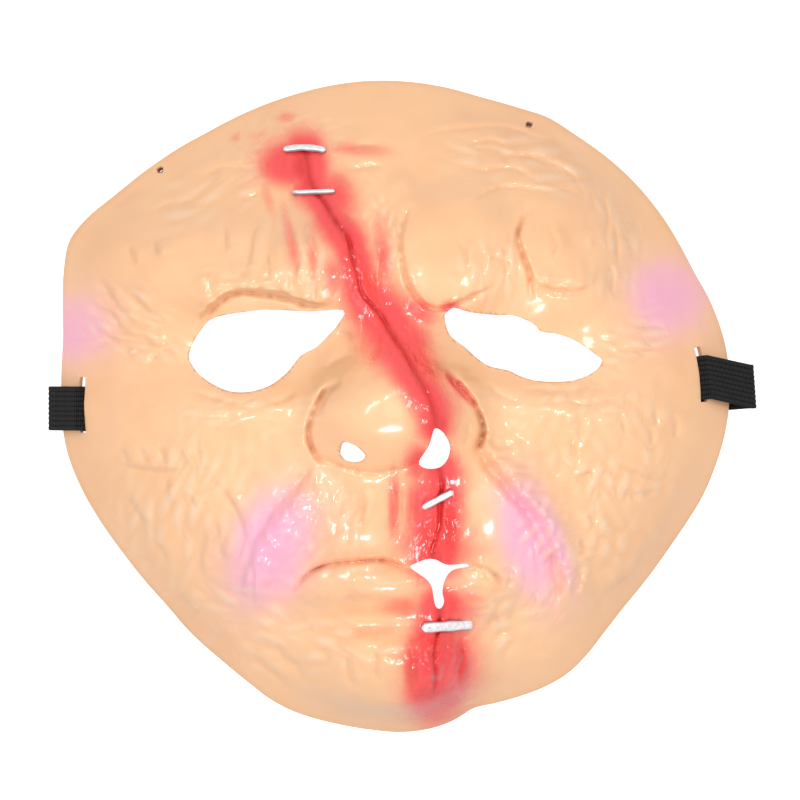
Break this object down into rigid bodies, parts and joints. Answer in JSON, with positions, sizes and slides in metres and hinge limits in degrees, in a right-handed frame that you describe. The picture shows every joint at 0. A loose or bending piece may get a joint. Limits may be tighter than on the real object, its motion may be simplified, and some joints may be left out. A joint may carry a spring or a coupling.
{
  "type": "scarred face mask",
  "caption": "Thin moulded full-face costume mask, lying face up, with cut eye, nostril and mouth openings, a stapled scar and a flat elastic strap through side slots.",
  "frame": {"origin": "on the surface that the rim rests on, below the middle of the whole mask with its strap loops", "axes": "+X across the face to the wearer's left, +Y up the face to the forehead, +Z out of the face"},
  "size_m": [0.2331, 0.2143, 0.0779],
  "materials": {
    "painted_skin": "thin moulded plastic in pale peach, glossy, airbrushed red along the scar and pink at the cheeks and temples",
    "silver_paint": "silver white paint on moulded staples",
    "black_elastic": "woven ribbed elastic, matt black"
  },
  "bodies": {
    "root": {"mask_shell": "painted_skin", "staple_forehead_upper": "silver_paint", "staple_forehead_lower": "silver_paint", "staple_upper_lip": "silver_paint", "staple_chin": "silver_paint", "elastic_strap": "black_elastic"}
  },
  "joints": []
}
